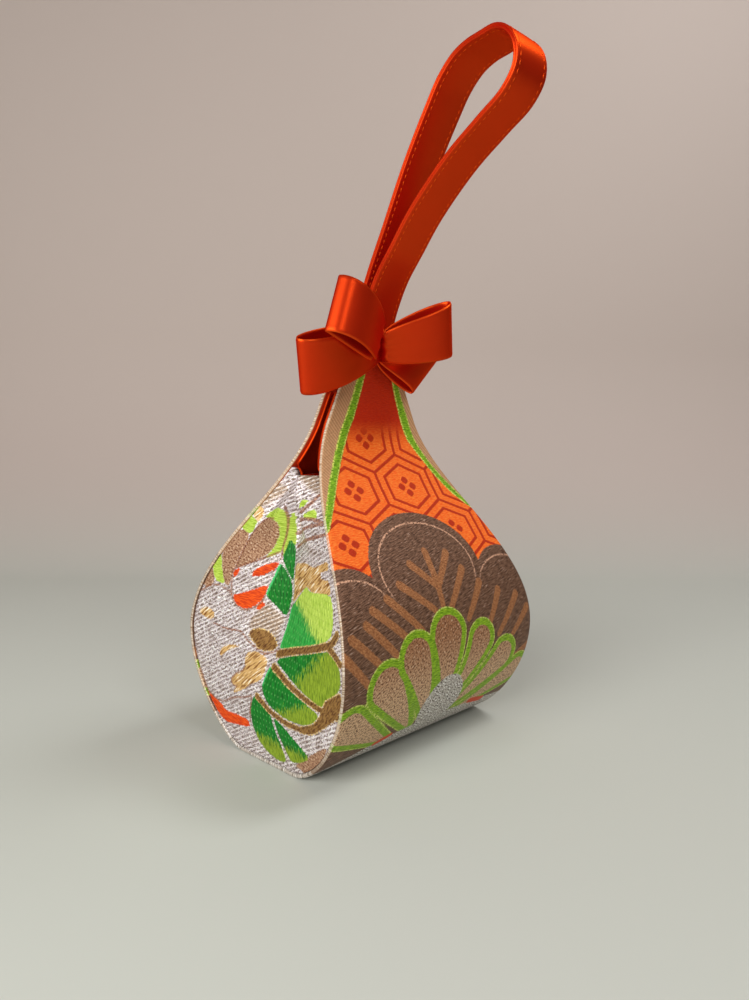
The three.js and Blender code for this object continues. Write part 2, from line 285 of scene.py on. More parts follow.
class Tree:
    """A material's node tree, written as short expressions. A colour is a socket or a text like "#a0b0c0"."""

    def __init__(self, name):
        self.mat = bpy.data.materials.new(name)
        self.mat.use_nodes = True
        self.t = self.mat.node_tree
        self.t.nodes.clear()
        self.bsdf = self.node("ShaderNodeBsdfPrincipled")
        self.node("ShaderNodeOutputMaterial", {0: self.bsdf.outputs[0]})

    def put(self, socket, value):
        if isinstance(value, bpy.types.NodeSocket):
            self.t.links.new(value, socket)
        else:
            socket.default_value = colour(value) if isinstance(value, str) else value

    def node(self, kind, inputs=None, **settings):
        n = self.t.nodes.new(kind)
        for key, value in settings.items():
            setattr(n, key, value)
        for key, value in (inputs or {}).items():
            self.put(n.inputs[key], value)
        return n

    def math(self, op, a, b=0.0):
        return self.node("ShaderNodeMath", {0: a, 1: b}, operation=op).outputs[0]

    add = partialmethod(math, "ADD")
    sub = partialmethod(math, "SUBTRACT")
    mul = partialmethod(math, "MULTIPLY")
    abs = partialmethod(math, "ABSOLUTE")
    low = partialmethod(math, "MINIMUM")
    high = partialmethod(math, "MAXIMUM")
    power = partialmethod(math, "POWER")
    round = partialmethod(math, "ROUND")

    def step(self, v, a, b):
        """0 below a, 1 above b, smooth between."""
        inputs = {0: v, 1: a, 2: b}
        return self.node("ShaderNodeMapRange", inputs, interpolation_type="SMOOTHSTEP").outputs[0]

    def inside(self, d, edge, rough=None):
        """1 inside a figure, from its signed distance, with a woven edge."""
        return self.step(d if rough is None else self.add(d, rough), edge, -edge)

    def line(self, d, half):
        """Signed distance to a line of that half width along a figure's outline."""
        return self.sub(self.abs(d), half)

    def attr(self, name, vector=False):
        return self.node("ShaderNodeAttribute", attribute_name=name).outputs["Vector" if vector else "Fac"]

    def object_place(self):
        return self.node("ShaderNodeTexCoord").outputs["Object"]

    def place(self, vec, angle, along, across, shift=0.0):
        inputs = {"Vector": vec, "Location": (shift, shift, 0), "Rotation": (0, 0, math.radians(angle)),
                  "Scale": (along, across, 1)}
        return self.node("ShaderNodeMapping", inputs, vector_type="TEXTURE").outputs[0]

    def noise(self, vec, scale=1.0, detail=2.0):
        inputs = {"Vector": vec, "Scale": scale, "Detail": detail}
        return self.node("ShaderNodeTexNoise", inputs).outputs["Fac"]

    def patches(self, vec, scale, a, b):
        """Irregular patches, 0 or 1 with a soft edge."""
        return self.step(self.noise(vec, scale, 1.0), a, b)

    def threads(self, vec, angle, along, across, shift=0.0):
        return self.noise(self.place(vec, angle, along, across, shift))

    def ragged(self, vec, angle, along, across, size):
        """How far threads push a figure's edge in and out."""
        return self.mul(self.sub(self.threads(vec, angle, along, across), 0.5), size)

    def stitch(self, vec, angle, length, pitch, shift=0.0):
        """Short light and dark dashes laid in wavy rows, about 0 to 1."""
        rows = 0.1
        dash = self.add(self.mul(self.threads(vec, angle, length, pitch, shift), 2.2), -0.6 - rows / 2)
        return self.add(self.mul(self.wave(vec, angle + 90, pitch * 2, 1.4), rows), dash)

    def wave(self, vec, angle, pitch, wander=0.0):
        """0 to 1 ridges across one direction."""
        vec = self.place(vec, angle, pitch * 20 / (2 * math.pi), 3.0)
        inputs = {"Vector": vec, "Scale": 1.0, "Distortion": wander, "Detail": 0.0}
        return self.node("ShaderNodeTexWave", inputs, wave_profile="SIN", bands_direction="X").outputs["Fac"]

    def blend(self, f, a, b):
        return self.node("ShaderNodeMix", {"Factor": f, 6: a, 7: b}, data_type="RGBA").outputs[2]

    def shade(self, v, a, b, first, second):
        """The first colour where v is below a, the second where it is above b."""
        return self.blend(self.step(v, a, b), first, second)

    def lay(self, ground, name, cloth, rough, edge=0.3):
        """A woven figure laid over the ground."""
        return self.blend(self.inside(self.attr(name), edge, rough), ground, cloth)

    def set(self, **values):
        for key, value in values.items():
            self.put(self.bsdf.inputs[key.replace("_", " ")], value)

    def bump(self, height, strength, distance):
        inputs = {"Height": height, "Strength": strength, "Distance": distance}
        self.set(Normal=self.node("ShaderNodeBump", inputs).outputs[0])


# Heights of the weave's relief, in metres
BROCADE_RELIEF, SATIN_RELIEF = 0.0004, 0.0002

# Woven cloth of the wrap: hexagon field, cloud of needles, fan of petals, striped shoulders
HEX_HALF, HEX_TALL, HEX_X, HEX_S = 18.8, 18.2, 11.0, 175.5
HEX_RING, HEX_LINE = 0.70, 0.92
DOT_X, DOT_S, DOT_SIZE, DOT_POWER = 4.0, 3.7, 2.15, 1.5
FRONT_EDGE = 0.25


def hexagon(m, u, s, shift_u, shift_s):
    """Distance from the middle of the nearest hexagon, 1 at its rim, and from the nearest dot in it."""
    def nearest(v, pitch):
        return m.abs(m.sub(v, m.mul(m.round(m.mul(v, 1 / pitch)), pitch)))

    def dot(x, y):
        return m.power(m.add(m.power(m.mul(x, 0.9), DOT_POWER), m.power(y, DOT_POWER)), 1 / DOT_POWER)

    x = nearest(m.sub(u, HEX_X + shift_u), 2 * HEX_HALF)
    y = nearest(m.sub(s, HEX_S + shift_s), 3 * HEX_TALL)
    slope = m.add(m.mul(y, 1 / HEX_TALL), m.mul(x, 0.5 / HEX_HALF))
    dots = m.low(dot(m.abs(m.sub(x, DOT_X)), y), dot(x, m.abs(m.sub(y, DOT_S))))
    return m.high(m.mul(x, 1 / HEX_HALF), slope), dots


def brocade_front():
    m = Tree("brocade_front_cloth")
    vec = m.attr("cloth", True)
    u, s, _ = m.node("ShaderNodeSeparateXYZ", {0: vec}).outputs
    fine = m.threads(vec, 0, 2.6, 0.45)
    weft = m.stitch(vec, 14, 3.4, 0.6, 7.0)
    cross = m.stitch(vec, -30, 1.3, 0.8, 31.0)
    knots = m.stitch(vec, 35, 1.1, 0.8, 13.0)
    grain = m.noise(vec, 1.6)
    jag = m.ragged(vec, 0, 0.6, 0.9, 1.5)

    def yarn(dark, light):
        return m.shade(fine, 0.3, 0.7, dark, light)

    # Hexagon field, which ends in plain red towards the neck
    h1, dots1 = hexagon(m, u, s, 0, 0)
    h2, dots2 = hexagon(m, u, s, HEX_HALF, 1.5 * HEX_TALL)
    h = m.low(h1, h2)
    rim = m.mul(m.sub(1.0, h), HEX_HALF)
    ring = m.mul(m.abs(m.sub(h, HEX_RING)), HEX_HALF)
    lines = m.inside(m.sub(m.low(rim, ring), HEX_LINE), 0.3, m.mul(jag, 0.5))
    dots = m.inside(m.sub(m.low(dots1, dots2), DOT_SIZE), 0.35, m.mul(jag, 0.4))
    field = m.mul(m.high(lines, dots), m.step(s, 212.0, 203.0))
    ground = m.shade(s, 197.0, 213.0, yarn("#f4580c", "#ff8632"), m.blend(fine, "#ac1803", "#d03608"))
    c = m.blend(field, ground, m.blend(grain, "#a81e04", "#c83c10"))

    # Shoulders: lime stripe, then a tan twill border
    twill = m.add(m.mul(m.wave(vec, 40, 1.5), 0.6), m.mul(grain, 0.4))
    c = m.lay(c, "shoulder", m.blend(twill, "#a67750", "#d2a379"), jag, FRONT_EDGE)
    c = m.lay(c, "stripe", yarn("#557f10", "#92c42a"), jag, FRONT_EDGE)
    piping = m.inside(m.line(m.add(m.attr("stripe"), 0.3), 0.35), 0.15)
    c = m.blend(m.mul(piping, m.step(m.threads(vec, 90, 0.9, 1.5), 0.45, 0.55)), c, "#d8dd6a")

    # Cloud, its outline thread and the needles
    taupe = m.shade(weft, 0.0, 1.0, "#4e3527", "#8c6751")
    taupe = m.blend(m.mul(m.step(weft, 0.75, 1.1), 0.6), taupe, "#c4aea0")
    c = m.lay(c, "cloud", taupe, jag, FRONT_EDGE)
    thread = m.inside(m.line(m.attr("cloud_line"), 0.45), FRONT_EDGE, m.mul(jag, 0.5))
    dashes = m.mul(thread, m.patches(vec, 0.9, 0.38, 0.5))
    c = m.blend(m.mul(dashes, m.step(s, 118.0, 126.0)), c, "#d8a688")
    c = m.lay(c, "needles", m.shade(cross, 0.0, 1.0, "#8e5836", "#ba8054"), jag, 0.35)

    # Petals and the silver middle
    beige = m.shade(s, 66.0, 104.0, "#dcb690", "#ac7854")
    beige = m.shade(knots, 0.62, 0.15, beige, "#6a432c")
    beige = m.blend(m.mul(m.step(knots, 0.7, 1.0), 0.7), beige, "#f0d6b8")
    silver = m.shade(cross, 0.15, 0.5, "#463a34", "#c4bcb4")
    silver = m.shade(cross, 0.6, 0.9, silver, "#ffffff")
    c = m.lay(c, "petals", yarn("#5c8612", "#a4cc30"), jag, FRONT_EDGE)
    piping = m.inside(m.line(m.add(m.attr("petals"), 0.2), 0.35), 0.15)
    c = m.blend(m.mul(piping, m.patches(vec, 0.9, 0.42, 0.55)), c, "#d2dc72")
    c = m.lay(c, "petal_fill", beige, jag, FRONT_EDGE)
    c = m.lay(c, "silver", silver, jag)
    c = m.lay(c, "red", "#d8481a", jag)

    # Hem along the turned edge, painted a lighter cream as a highlight that grows stronger up the panel, and
    # the plain inside
    # Painted highlight: the hem strip is blended towards light cream, more strongly from partway up the panel
    hem = m.mul(m.inside(m.attr("hem"), 0.15), m.add(0.25, m.mul(m.step(s, 25.0, 60.0), 0.5)))
    c = m.blend(hem, c, yarn("#9c8264", "#efe2d0"))
    c = m.blend(m.attr("inner"), c, "#b83210")

    shine = m.high(m.inside(m.attr("cloud"), 0.3), m.inside(m.attr("silver"), 0.3))
    m.set(Base_Color=c, Roughness=m.sub(0.6, m.mul(shine, 0.16)), Metallic=m.mul(shine, 0.3),
          Specular_IOR_Level=0.15)
    m.bump(m.add(m.add(fine, m.mul(weft, 0.6)), m.mul(field, 0.5)), 0.5, BROCADE_RELIEF)
    return m.mat


# Woven cloth of the gussets: silver flower, leaves, lime and beige ovals
def brocade_side():
    m = Tree("brocade_side_cloth")
    vec = m.attr("cloth", True)
    fine = m.threads(vec, 8, 4.0, 0.5)
    upright = m.threads(vec, 78, 4.0, 0.5, 3.0)
    rows = m.stitch(vec, -22, 1.8, 0.8, 11.0)
    slant = m.stitch(vec, -50, 2.2, 0.85, 23.0)
    knots = m.stitch(vec, 24, 1.1, 0.8, 5.0)
    streak = m.stitch(vec, -42, 6.0, 0.9, 41.0)
    jag = m.ragged(vec, 5, 0.9, 0.8, 1.8)
    patch = m.patches(vec, 0.06, 0.46, 0.54)
    weave = m.add(m.mul(patch, slant), m.mul(m.sub(1.0, patch), rows))

    # Silver ground, with duller patches, and the figures in metal thread and yarn
    dull = m.step(m.noise(vec, 0.22), 0.42, 0.68)
    c = m.shade(weave, 0.1, 0.42, "#46383a", m.blend(dull, "#e2d6de", "#a8989a"))
    c = m.shade(weave, 0.45, 0.75, c, m.blend(dull, "#ffffff", "#d8cccf"))
    bronze = m.shade(weave, 0.05, 0.5, "#4e3a2c", "#a8907c")
    bronze = m.blend(m.mul(m.step(weave, 0.6, 0.9), 0.6), bronze, "#dcc6ac")
    c = m.lay(c, "bronze", bronze, jag, 1.2)
    c = m.lay(c, "flame", m.shade(m.wave(vec, 62, 1.9, 0.8), 0.5, 0.85, "#75604f", "#e2d8d2"), jag)
    beige = m.shade(knots, 0.1, 0.7, "#744a34", "#b68e70")
    c = m.lay(c, "beige", m.shade(knots, 0.75, 1.0, beige, "#e6ceb6"), jag)
    c = m.lay(c, "lime", m.shade(fine, 0.3, 0.7, "#86a424", "#c0da5c"), jag)
    c = m.lay(c, "orange", m.shade(fine, 0.3, 0.7, "#b82c00", "#ee5a10"), jag)
    gold = m.shade(streak, 0.1, 0.6, "#7c4a1c", "#dcb272")
    c = m.lay(c, "gold", m.shade(streak, 0.65, 0.9, gold, "#fff4dc"), jag)

    # Leaves, which turn from green to lime, with tie stitches; painted light makes the leaf on the upper
    # pleat lighter than the others, and a painted highlight runs along the leaves' edge on the pleat
    turn = m.add(m.attr("leaf_turn"), m.mul(m.sub(upright, 0.5), 1.9))
    # Painted light and shade: lighter greens for the leaf on the upper pleat, darker greens for the others
    painted_light = m.step(m.attr("leaf_lit"), -0.6, 0.6)
    green = m.shade(upright, 0.25, 0.7, m.blend(painted_light, "#04460f", "#0a6a20"),
                    m.blend(painted_light, "#138426", "#38b048"))
    pale = m.shade(upright, 0.3, 0.7, m.blend(painted_light, "#5e7812", "#8cb030"),
                   m.blend(painted_light, "#92aa2e", "#c8e068"))
    leaf = m.shade(turn, 0.35, 0.62, green, pale)
    ties = m.step(m.mul(m.wave(vec, 8, 2.3), m.wave(vec, 92, 2.9)), 0.62, 0.85)
    leaf = m.blend(m.mul(ties, 0.3), leaf, m.shade(turn, 0.35, 0.62, "#7cc070", "#4e6c10"))
    # Painted highlight: a bright emerald line along the leaves' edge on the pleat
    folded = m.inside(m.sub(m.attr("leaf_edge"), 0.6), 0.5)
    leaf = m.blend(m.mul(folded, 0.7), leaf, "#4fdc7c")
    c = m.blend(m.inside(m.sub(m.attr("leaf"), 0.2), 0.3, m.mul(jag, 0.7)), c, leaf)

    # Brown veins and the outlines
    c = m.lay(c, "brown", m.shade(slant, 0.1, 0.8, "#5e381a", "#96703c"), jag)
    piping = m.inside(m.line(m.attr("brown"), 0.35), 0.15)
    c = m.blend(m.mul(piping, m.patches(vec, 1.1, 0.46, 0.58)), c, "#d8b878")
    outline = m.inside(m.sub(m.attr("contour"), 0.5), 0.3)
    c = m.blend(m.mul(outline, 0.8), c, m.shade(knots, 0.3, 0.8, "#6e3a28", "#b07a58"))

    leaves, limes, oranges = (m.inside(m.attr(name), 0.3) for name in ("leaf", "lime", "orange"))
    yarn = m.high(m.high(leaves, limes), oranges)
    m.set(Base_Color=c, Roughness=m.add(0.4, m.mul(yarn, 0.18)), Metallic=m.mul(m.sub(1.0, yarn), 0.25),
          Specular_IOR_Level=0.2)
    m.bump(m.add(m.mul(weave, 0.6), m.mul(upright, 0.6)), 0.5, BROCADE_RELIEF)
    return m.mat


# Satin: fine ribs along the cloth, with highlights that follow the direction across it
def satin(name, deep, bright, rough):
    m = Tree(name)
    vec = m.attr("cloth", True)
    ribs = m.threads(vec, 0, 22.0, 0.3)
    soft = m.noise(vec, 0.06)
    c = m.blend(m.add(m.mul(ribs, 0.35), m.mul(soft, 0.65)), deep, bright)
    # The selvage edges are painted a lighter orange: partly the woven edge's own lighter line, partly a
    # painted highlight
    c = m.blend(m.mul(m.attr("selvage"), 0.7), c, "#e0501a")
    m.set(Base_Color=c, Roughness=m.add(rough, m.mul(m.sub(ribs, 0.5), 0.04)), Tangent=m.attr("across", True),
          Metallic=0.4, Anisotropic=0.45, IOR=2.8, Specular_IOR_Level=1.0, Specular_Tint="#ff7222")
    m.bump(ribs, 0.03, SATIN_RELIEF)
    return m.mat


def metal():
    m = Tree("snap_metal_finish")
    rub = m.noise(m.object_place(), 900.0, 3.0)
    m.set(Base_Color=m.shade(rub, 0.3, 0.7, "#a8a196", "#d9d4c8"), Roughness=m.add(0.22, m.mul(rub, 0.2)),
          Metallic=1.0)
    return m.mat


FRONT = brocade_front()
SIDE = brocade_side()
RIBBON = satin("ribbon_satin_cloth", "#b4080e", "#d00e10", 0.4)
INSIDE = satin("lining_satin_cloth", "#ac0c03", "#c81606", 0.5)
THREAD = satin("strap_thread", "#cc300a", "#e2521a", 0.4)


# Figures woven into the wrap, in width and arc length up the panel
STRIPE_FOOT = 156.0
# Turns a distance along the width into one square to the slanting stripe
STRIPE_SLANT = 0.72
PETAL_RIM = 3.7


def front_figures(x, s):
    cloud_arches = ((-2, 130, 38, 31), (-57, 118, 22, 20), (53, 115, 23, 21))
    line_arches = ((-2, 130, 32.5, 25), (-57, 118, 21, 14), (53, 115, 22.5, 15))
    cloud = union(*(d_ellipse(x, s, *a) for a in cloud_arches), s - 119)
    cloud_line = union(*(d_ellipse(x, s, *a) for a in line_arches))
    rays = (
        ((-0.3, 139), (-1.4, 112)), ((-14, 134), (-2.5, 122)), ((14, 136.5), (0, 121.5)),
        ((20.6, 127), (4.3, 110)), ((30, 118.5), (15.5, 102.5)), ((-26, 125.5), (-7.5, 110.5)),
        ((-36.5, 120.5), (-18.8, 103)), ((-47, 117), (-28, 100.5)), ((-52.8, 111.5), (-34.5, 93)),
        ((-62.8, 107.5), (-47, 93)), ((-69, 101.5), (-53.5, 85)), ((43, 112.5), (31, 96)),
        ((57, 108), (39.5, 90.5)), ((65, 100), (52, 88)), ((68.5, 79), (57.5, 74)),
    )
    needles = union(*(d_capsule(x, s, p, q, 2.2, 1.7) for p, q in rays))
    far = 1e3
    petals, fill = np.full(x.shape, far), np.full(x.shape, far)
    for head, r, foot in (
        ((-61.4, 66.4), 12.3, (-28, 46)), ((62.3, 64.9), 10.8, (22, 47)), ((-42.4, 82.4), 12.8, (-16, 51)),
        ((44.9, 77.0), 12.0, (14, 54)), ((-23.6, 91.5), 12.8, (-8, 57)), ((24.4, 90.1), 11.2, (9, 61)),
        ((-1.0, 97.0), 13.8, (1, 61)),
    ):
        d = d_capsule(x, s, foot, head, 4.5, r)
        petals = np.minimum(petals, d)
        fill = np.minimum(np.maximum(fill, -d), d + PETAL_RIM)
    silver = union(d_ellipse(x, s, 3, 60, 15, 17), s - 50 + np.where(x < 0, 0.0035, 0.001) * x * x)
    red = union(d_capsule(x, s, (-34, 45.5), (-26, 48.5), 1.8), d_capsule(x, s, (34, 50), (46, 47), 2.2))
    levels = (155, 162, 169, 179, 190, 201, 212, 224, 235, 245)
    left_in = np.interp(s, levels, (-53.8, -48.3, -42.9, -36, -28.4, -21.3, -14.7, -10.2, -6.4, -3.5))
    left_out = np.interp(s, levels, (-57, -52.4, -47.8, -41.1, -33.7, -26.8, -20.7, -15.3, -11.2, -8))
    right_in = np.interp(s, levels, (57, 49.1, 43, 36.8, 31, 23.6, 19.3, 14.8, 11.8, 9))
    right_out = np.interp(s, levels, (59.9, 52.9, 47.6, 41.5, 35.3, 29.5, 25.4, 19.6, 16, 13))
    stripe = union(np.maximum(left_out - x, x - left_in), np.maximum(right_in - x, x - right_out))
    stripe = np.maximum(STRIPE_SLANT * stripe, STRIPE_FOOT - s)
    shoulder = np.maximum(STRIPE_SLANT * union(x - left_in, right_in - x), STRIPE_FOOT - s)
    return dict(cloud=cloud, cloud_line=cloud_line, needles=needles, petals=petals, petal_fill=fill,
                silver=silver, red=red, stripe=stripe, shoulder=shoulder)


def columns(ring, rows):
    """Places across and depths of a ring's points, for each row of the cloth."""
    return [np.stack([np.full(rows, v) for v in values], 1) for values in zip(*ring)]


# Wrap: one band of cloth down the front, under the base and up the back
WRAP_STEP, WRAP_COLUMNS, WRAP_EDGE = 1.05, 120, 6
BACK_BORDER, BORDER_FOOT, HEM, RAISED = 4.0, 118.0, 0.45, 0.2
# Heights between which the wrap's inside fades to a plain colour
INNER_FOOT, INNER_FULL = 128.0, 134.0


def wrap_ring(half):
    """Points round the wrap's section: outside, right edge, inside, left edge."""
    flat = half - WRAP / 2
    turn = half_turn(WRAP / 2, WRAP_EDGE)
    ring = [(f * flat, 0.0) for f in np.linspace(-1, 1, WRAP_COLUMNS + 1)]
    ring += [(flat + out, deep) for out, deep in turn]
    ring += [(f * flat, WRAP) for f in np.linspace(1, -1, WRAP_COLUMNS // 8 + 1)]
    return ring + [(-flat - out, WRAP - deep) for out, deep in turn]


def make_wrap():
    top = arc_at(BAG_HEIGHT)
    s = np.linspace(top, -top, int(2 * top / WRAP_STEP) + 1)
    z = on_profile(np.abs(s))[1]
    x, depth = columns(wrap_ring(half_width(z)), len(s))
    z = z[:, None]
    arc = np.repeat(s[:, None], x.shape[1], 1)
    behind = arc < 0
    front = np.where(behind, -x, x)
    figs = front_figures(front, np.abs(arc))
    margin = half_width(z) - np.abs(x)
    border = np.maximum(margin - BACK_BORDER, BORDER_FOOT - np.abs(arc))
    figs["shoulder"] = np.where(behind, np.minimum(figs["shoulder"], border), figs["shoulder"])
    attrs = {k: v.ravel() for k, v in figs.items()}
    attrs["hem"] = (margin - HEM).ravel()
    inner = np.zeros_like(x)
    inner[:, WRAP_COLUMNS + WRAP_EDGE:-(WRAP_EDGE - 1)] = 1.0
    attrs["inner"] = (inner * ease(z, INNER_FOOT, INNER_FULL)).ravel()
    attrs.update(on_cloth(front, np.abs(arc)))
    # The figures stand out a little, but not at the base or the edges
    raised = union(figs["petals"], figs["needles"], figs["cloud"], figs["stripe"])
    lift = RAISED * ease(-raised, -0.5, 0.9) * ease(z, 2, 10) * ease(margin, 0.8, 3)
    lift[:, WRAP_COLUMNS + 1:] = 0
    return finish_mesh("wrap_cloth", *loft(along_profile(s, x, depth - lift)), FRONT, attrs)


# Lining of the wrap: narrow between the gussets, out to the wrap's edges in the neck
LINING_INSET, FRONT_INSET, BACK_INSET = 6.6, 0.3, 1.8
LINING_ROLL, ROLL_WIDTH = 0.9, 1.3


def lining_half(z, s):
    foot = GUSSET_TOP + np.where(s < 0, BACK_RISE, 0.0)
    neck_inset = np.where(s < 0, BACK_INSET, FRONT_INSET)
    return half_width(z) - mix(LINING_INSET, neck_inset, ease(z, foot, foot + 3))


def make_wrap_lining():
    top = arc_at(LINING_TOP)
    s = np.linspace(top, -top, int(top) + 1)
    z = on_profile(np.abs(s))[1]
    # The edge is rolled over in the neck
    roll = LINING_ROLL * ease(z, GUSSET_TOP + 3, GUSSET_TOP + 7)
    r = (LINING + roll) / 2
    flat = lining_half(z, s) - r
    half = [(f * flat, 0.0) for f in np.linspace(0, 1, 16)]
    half += [(flat + r * math.sin(a), r - r * math.cos(a)) for a in np.linspace(0.5, math.pi - 0.4, 7)]
    half += [(flat - o, LINING + roll * (1 - ease(o, 0, ROLL_WIDTH))) for o in (0.0, 0.4, 0.8, ROLL_WIDTH)]
    half += [(f * (flat - ROLL_WIDTH), LINING) for f in (0.8, 0.6, 0.4, 0.2, 0.0)]
    x, depth = columns(half + [(-x, deep) for x, deep in half[-2:0:-1]], len(s))
    arc = np.repeat(s[:, None], x.shape[1], 1)
    rings = along_profile(s, x, depth + WRAP + GAP)
    return finish_mesh("wrap_lining_cloth", *loft(rings), INSIDE, on_cloth(arc, x, ALONG_X))


# Gussets: pleats that deepen to a height, then fold flat towards the top
PLEAT_FOOT, PLEAT_FULL = 28.0, 74.0
PLEAT_DEPTH, PLEAT_TOP_DEPTH = 16.0, 8.0
FRONT_FOLD, BACK_FOLD = -6.0, 4.0
LOBE, NOTCH, NOTCH_REACH = 2.0, 3.0, 14.0
# Where the top edge leaves its dip and climbs to the back, as a share of the half depth
DIP_END = 0.35
# How softly the folds bend, as a share of the columns, and the seam's spare length above the top
FOLD_SOFTNESS, SEAM_SPARE = 1.6 / 120, 4.0
# Columns and row spacing of the gussets' cloth and of their lining
GUSSET_MESH, GUSSET_LINING_MESH = (150, 1.1), (56, 2.6)


def gusset_folds(z):
    """Where the folds lie at a height, as shares of the half depth, and how far each is set in."""
    fall = np.maximum(0, (z - PLEAT_FULL) / (GUSSET_TOP - PLEAT_FULL))
    deep = mix(PLEAT_DEPTH, PLEAT_TOP_DEPTH, fall) * ease(z, PLEAT_FOOT, PLEAT_FULL)
    fold = ease(z, SIDE_FOOT, GUSSET_TOP)
    notch = NOTCH * ease(z, GUSSET_TOP - NOTCH_REACH, GUSSET_TOP)
    lobe = LOBE * 4 * fold * (1 - fold)
    share = [-1, mix(-0.5, -0.24, fold), 0, mix(0.36, 0.3, fold), mix(0.7, 0.66, fold), 1]
    out = [0, mix(0.42 * deep, FRONT_FOLD, fold), deep, mix(0.55 * deep, 0, fold) - lobe + notch,
           mix(0.24 * deep, BACK_FOLD, fold), 0]
    return share, out


def gusset_surface(across, spacing):
    """Depth, height and inward set of a gusset's points, row by row up from the base."""
    foot, top = BASE_DEPTH / 2, arc_at(GUSSET_TOP + BACK_RISE + SEAM_SPARE)
    d, z, nd, nz = on_profile(np.linspace(foot, top, int((top - foot) / spacing) + 1))
    seam_d, seam_z = d + nd * (WRAP + GAP), z + nz * (WRAP + GAP)
    seam_z[0] = WRAP + GAP
    level = np.append(seam_z[seam_z < GUSSET_TOP - 0.4 * spacing], GUSSET_TOP)
    eta = np.linspace(-1, 1, across + 1)
    softness = FOLD_SOFTNESS * across
    sets = np.array([smooth(np.interp(eta, *gusset_folds(height)), softness) for height in level])
    sets[:, [0, -1]] = 0
    reach = ease(level, SIDE_FOOT, GUSSET_TOP)[:, None]
    climb = reach * ease(eta, DIP_END, 1)[None, :]
    dip = reach * ease(eta, 0, DIP_END)[None, :] - climb
    Z = level[:, None] + BACK_RISE * climb - TOP_DIP * dip
    Y = eta[None, :] * (np.interp(Z, seam_z, seam_d) - GAP * climb)
    return Y, Z, sets


